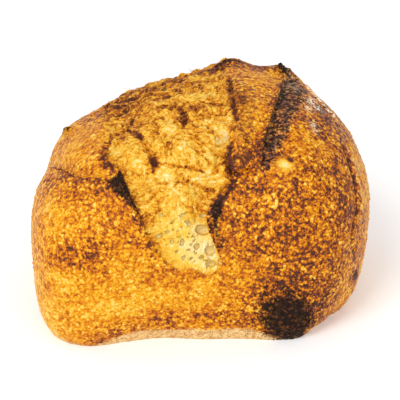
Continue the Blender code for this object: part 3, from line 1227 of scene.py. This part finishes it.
@dataclass(frozen=True)
class GrainFinish:
    """Small dry grains, such as bran or semolina: two tones in a fine mottle."""

    name: str
    light: tuple
    dark: tuple
    roughness: float = 0.8
    mottle_size: float = 0.0009

    def material(self) -> Material:
        """Builds the finish.

        Returns:
            The material.
        """
        sheet = FinishSheet(self.name)
        share = sheet.span(sheet.noise(self.mottle_size, 2.0), 0.35, 0.65)
        sheet.shade(Base_Color=sheet.blend(share, self.light, self.dark),
                    Roughness=self.roughness, Specular_IOR_Level=0.2)
        return sheet.material


# ---------------- what is scattered


class Shape(Enum):
    """Forms of the small pieces; a thread or hair is its start, middle and end."""

    BLISTER = "blister"
    CHIP = "chip"
    THREAD = ((-1.0, 0.0, -0.15), (0.0, 0.5, 1.3), (1.0, 0.1, -0.15))
    HAIR = ((-1.0, 0.0, -0.15), (0.2, 0.1, 1.2), (0.9, 0.4, 1.5))


class Ground(Enum):
    """Where small pieces lie.

    Each is a bake, the amounts of it over which pieces thicken, and the heights over
    the sole over which they do.
    """

    CRUST = (Bake.CRUMB, 1.0, 0.0, 0.006, 0.012)
    CRUMB = (Bake.CRUMB, 0.7, 1.0, 0.066, 0.085)
    SOLE = (Bake.SOLE, 0.4, 0.9, 0.0010, 0.0020)
    CHAR = (Bake.CHAR, 0.45, 0.9, 0.003, 0.006)
    FLOUR = (Bake.FLOUR, 0.15, 0.6, -0.002, -0.001)
    ROOF = (Bake.CRUMB, 0.5, 1.0, 0.100, 0.108)


class ScatterSheet(NodeSheet):
    """A geometry node tree, which takes the skin and gives pieces, while it is written."""

    def __init__(self, name: str) -> None:
        """Starts the tree.

        Args:
            name: the tree's name.
        """
        super().__init__(bpy.data.node_groups.new(name, "GeometryNodeTree"))
        ports = self.tree.interface
        ports.new_socket("Skin", in_out="INPUT", socket_type="NodeSocketGeometry")
        ports.new_socket("Pieces", in_out="OUTPUT", socket_type="NodeSocketGeometry")
        self.given = self.add("NodeGroupInput")
        self.result = self.add("NodeGroupOutput")
        self.settings: dict[str, float] = {}

    def setting(self, name: str, value: float) -> Socket:
        """Adds a named size that the modifier sets."""
        port = self.tree.interface.new_socket(name, in_out="INPUT",
                                              socket_type="NodeSocketFloat")
        self.settings[port.identifier] = value
        return self.given.outputs[name]

    def chance(self, low: object, high: object, seed: int) -> Socket:
        """A random value for each point."""
        feeds = {2: low, 3: high, "Seed": seed}
        return self.add("FunctionNodeRandomValue", feeds, data_type="FLOAT").outputs[1]

    def bake(self, kind: Bake) -> Socket:
        """One of the skin's attributes."""
        feeds = {"Name": kind.value}
        return self.add("GeometryNodeInputNamedAttribute", feeds, data_type="FLOAT").outputs[0]

    def height(self) -> Socket:
        """Height over the sole."""
        place = self.add("GeometryNodeInputPosition").outputs[0]
        return self.add("ShaderNodeSeparateXYZ", {0: place}).outputs[2]


@dataclass(frozen=True)
class Scatter:
    """Small pieces of one kind, scattered over the skin by geometry nodes."""

    name: str
    shape: Shape
    ground: Ground
    density: float
    smallest: float
    largest: float
    flatness: float = 0.5
    paler: float = 0.0
    seed: int = 1

    def _piece(self, sheet: ScatterSheet, flatness: Socket) -> Socket:
        """The form that is repeated, about two units across."""
        if self.shape is Shape.BLISTER:
            form = sheet.add("GeometryNodeMeshUVSphere", {"Segments": 8, "Rings": 5})
        elif self.shape is Shape.CHIP:
            form = sheet.add("GeometryNodeMeshIcoSphere", {"Subdivisions": 1})
        else:
            start, middle, end = self.shape.value
            curve = sheet.add("GeometryNodeCurveQuadraticBezier",
                              {"Resolution": 5, "Start": start, "Middle": middle, "End": end})
            ring = sheet.add("GeometryNodeCurvePrimitiveCircle",
                             {"Resolution": 3, "Radius": 0.055})
            form = sheet.add("GeometryNodeCurveToMesh",
                             {"Curve": curve.outputs[0], "Profile Curve": ring.outputs[0],
                              "Fill Caps": True})
        size = sheet.add("ShaderNodeCombineXYZ", {0: 1.0, 1: 1.0, 2: flatness}).outputs[0]
        feeds = {"Geometry": form.outputs[0], "Scale": size}
        return sheet.add("GeometryNodeTransform", feeds).outputs[0]

    def _share(self, sheet: ScatterSheet) -> Socket:
        """How densely the ground carries pieces, from 0 to 1."""
        kind, low, high, foot, full = self.ground.value
        if self.ground is Ground.CRUST:
            soft = sheet.math("MAXIMUM", sheet.bake(kind), sheet.bake(Bake.SOLE))
            share = sheet.without(soft)
        else:
            share = sheet.span(sheet.bake(kind), low, high)
        if self.ground is Ground.CRUMB:
            share = sheet.times(share, sheet.without(sheet.bake(Bake.PIT_SHADE)))
        return sheet.times(share, sheet.span(sheet.height(), foot, full))

    def tree(self, finish: Material) -> ScatterSheet:
        """Writes the geometry node tree.

        Args:
            finish: the pieces' material.

        Returns:
            The tree and its settings.
        """
        sheet = ScatterSheet(self.name)
        density, smallest, largest, flatness = (
            sheet.setting(name.capitalize(), getattr(self, name))
            for name in ("density", "smallest", "largest", "flatness"))
        spread = sheet.add("GeometryNodeDistributePointsOnFaces",
                           {"Mesh": sheet.given.outputs["Skin"], "Seed": self.seed,
                            "Density": sheet.times(density, self._share(sheet))},
                           distribute_method="RANDOM")
        tone = sheet.math("SUBTRACT", sheet.bake(Bake.TOAST),
                          sheet.chance(self.paler * 0.1, self.paler, self.seed + 1))
        marked = sheet.add("GeometryNodeStoreNamedAttribute",
                           {"Geometry": spread.outputs["Points"], "Name": "toast",
                            "Value": tone}, data_type="FLOAT", domain="POINT")
        turn = sheet.chance(0.0, math.tau, self.seed + 2)
        spin = sheet.add("ShaderNodeCombineXYZ", {2: turn}).outputs[0]
        turned = sheet.add("FunctionNodeRotateRotation",
                           {"Rotation": spread.outputs["Rotation"], "Rotate By": spin},
                           rotation_space="LOCAL")
        placed = sheet.add("GeometryNodeInstanceOnPoints",
                           {"Points": marked.outputs[0],
                            "Instance": self._piece(sheet, flatness),
                            "Rotation": turned.outputs[0],
                            "Scale": sheet.chance(smallest, largest, self.seed + 3)})
        pieces = placed.outputs[0]
        for kind, feeds in (("RealizeInstances", {}), ("SetShadeSmooth", {}),
                            ("SetMaterial", {"Material": finish})):
            feeds = {"Geometry": pieces, **feeds}
            pieces = sheet.add("GeometryNode" + kind, feeds).outputs[0]
        sheet.feed(sheet.result.inputs["Pieces"], pieces)
        return sheet

    def build(self, skin: Piece, finish: Material) -> Piece:
        """Scatters the pieces and turns them into one plain mesh.

        Args:
            skin: the loaf's finished skin.
            finish: the pieces' material.

        Returns:
            The pieces.
        """
        scene = bpy.context.scene.collection
        host = bpy.data.objects.new(self.name + "_host", skin.data)
        scene.objects.link(host)
        sheet = self.tree(finish)
        modifier = host.modifiers.new("scatter", "NODES")
        modifier.node_group = sheet.tree
        for identifier, value in sheet.settings.items():
            modifier[identifier] = value
        ready = host.evaluated_get(bpy.context.evaluated_depsgraph_get())
        mesh = bpy.data.meshes.new_from_object(ready)
        mesh.name = self.name
        bpy.data.objects.remove(host)
        pieces = bpy.data.objects.new(self.name, mesh)
        scene.objects.link(pieces)
        return pieces


@dataclass(frozen=True)
class Trimmings:
    """Everything small that lies on the loaf or stands out of it.

    A kind's row holds its name, shape, ground, number per square metre, smallest and
    largest size, flatness, how much paler it is, and its seed.
    """

    bran: GrainFinish = GrainFinish("bran", srgb(150, 92, 42), srgb(86, 46, 20))
    semolina: GrainFinish = GrainFinish("semolina", srgb(252, 236, 196), srgb(236, 206, 150))
    kinds: tuple = (
        # Blisters are paler, for their thin skin and partly as painted highlights.
        ("blisters", Shape.BLISTER, Ground.CRUST, 24000, 0.0004, 0.0010, 0.60, 0.34, 3),
        ("gluten_threads", Shape.THREAD, Ground.CRUMB, 26000, 0.0012, 0.0026, 0.40, 0.10, 5),
        ("roof_hairs", Shape.HAIR, Ground.ROOF, 9000, 0.0010, 0.0026, 0.70, 0.10, 6),
        ("roof_flakes", Shape.CHIP, Ground.ROOF, 6000, 0.0008, 0.0022, 0.60, 0.10, 11),
        ("char_crumbs", Shape.CHIP, Ground.CHAR, 90000, 0.0003, 0.0008, 0.70, 0.0, 7),
        ("bran", Shape.CHIP, Ground.SOLE, 60000, 0.0002, 0.00055, 0.40, 0.0, 8),
        ("semolina", Shape.CHIP, Ground.SOLE, 90000, 0.0002, 0.0005, 0.60, 0.0, 9),
        ("flour", Shape.CHIP, Ground.FLOUR, 150000, 0.00015, 0.0004, 0.50, 0.0, 10),
    )

    def build(self, skin: Piece) -> list[Piece]:
        """Scatters every kind of small piece.

        Args:
            skin: the loaf's finished skin.

        Returns:
            One object for each kind.
        """
        crust = skin.data.materials[0]
        bran, semolina = self.bran.material(), self.semolina.material()
        dry = {"bran": bran, "semolina": semolina, "flour": semolina}
        return [Scatter(*kind).build(skin, dry.get(kind[0], crust)) for kind in self.kinds]


# ---------------- the studio


@dataclass(frozen=True)
class Studio:
    """Plain pale floor, soft lights and the camera."""

    distance: float = 0.95
    elevation: float = math.radians(28)
    lens: float = 137.2
    aim_height: float = 0.0545
    floor_half: float = 4.0
    floor_glow: float = 0.12
    sky_glow: float = 0.80
    sensor: float = 36.0
    key: tuple = ((-0.45, -0.75, 1.05), 0.5, 7.5)
    fill: tuple = ((0.80, -0.80, 0.55), 0.8, 1.0)

    def _link(self, name: str, data: bpy.types.ID) -> Piece:
        """Puts a new object with this data in the scene."""
        obj = bpy.data.objects.new(name, data)
        bpy.context.scene.collection.objects.link(obj)
        return obj

    def _light(self, name: str, place: tuple[float, float, float], size: float,
               power: float) -> None:
        """Adds a square soft light that faces the loaf."""
        data = bpy.data.lights.new(name, "AREA")
        data.size = size
        data.energy = power
        light = self._link(name, data)
        light.location = place
        aim = Vector((0, 0, self.aim_height)) - light.location
        light.rotation_euler = aim.to_track_quat("-Z", "Y").to_euler()

    def build(self) -> None:
        """Makes the floor, the world, the lights and the camera."""
        half = self.floor_half
        floor = bpy.data.meshes.new("floor")
        floor.from_pydata([(-half, -half, 0), (half, -half, 0), (half, half, 0),
                           (-half, half, 0)], [], [(0, 1, 2, 3)])
        sheet = FinishSheet("floor")
        sheet.shade(Base_Color=(0.96, 0.96, 0.96, 1), Roughness=0.9,
                    Emission_Color=(1, 1, 1, 1), Emission_Strength=self.floor_glow)
        floor.materials.append(sheet.material)
        self._link("floor", floor)
        world = bpy.data.worlds.new("studio")
        world.use_nodes = True
        background = world.node_tree.nodes["Background"]
        background.inputs["Color"].default_value = (1.0, 1.0, 1.0, 1)
        background.inputs["Strength"].default_value = self.sky_glow
        bpy.context.scene.world = world
        self._light("key", *self.key)
        self._light("fill", *self.fill)
        bpy.context.scene.view_settings.view_transform = "Standard"
        self._camera()

    def _camera(self) -> None:
        """Makes the camera that looks along +Y and down on the loaf."""
        low, high = CAD_BOUNDS
        middle = (low + high) / 2
        aim = Vector((middle.x - 0.0015, middle.y - 0.0040, self.aim_height))
        cos, sin = math.cos(self.elevation), math.sin(self.elevation)
        data = bpy.data.cameras.new("camera")
        data.lens = self.lens
        data.sensor_width = self.sensor
        camera = self._link("camera", data)
        camera.location = aim + Vector((0, -cos, sin)) * self.distance
        way = aim - camera.location
        camera.rotation_euler = way.to_track_quat("-Z", "Y").to_euler()
        bpy.context.scene.camera = camera


def main() -> None:
    """Builds the studio and the loaf."""
    logging.basicConfig(level=logging.INFO, format="%(message)s")
    Studio().build()
    loaf = LoafSkin().build()
    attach(loaf, "root")
    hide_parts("loaf")
    LOG.info("%s: %d faces", loaf.name, len(loaf.data.polygons))
    for piece in Trimmings().build(loaf):
        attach(piece, "root")
        LOG.info("%s: %d faces", piece.name, len(piece.data.polygons))


if __name__ == "__main__":
    main()
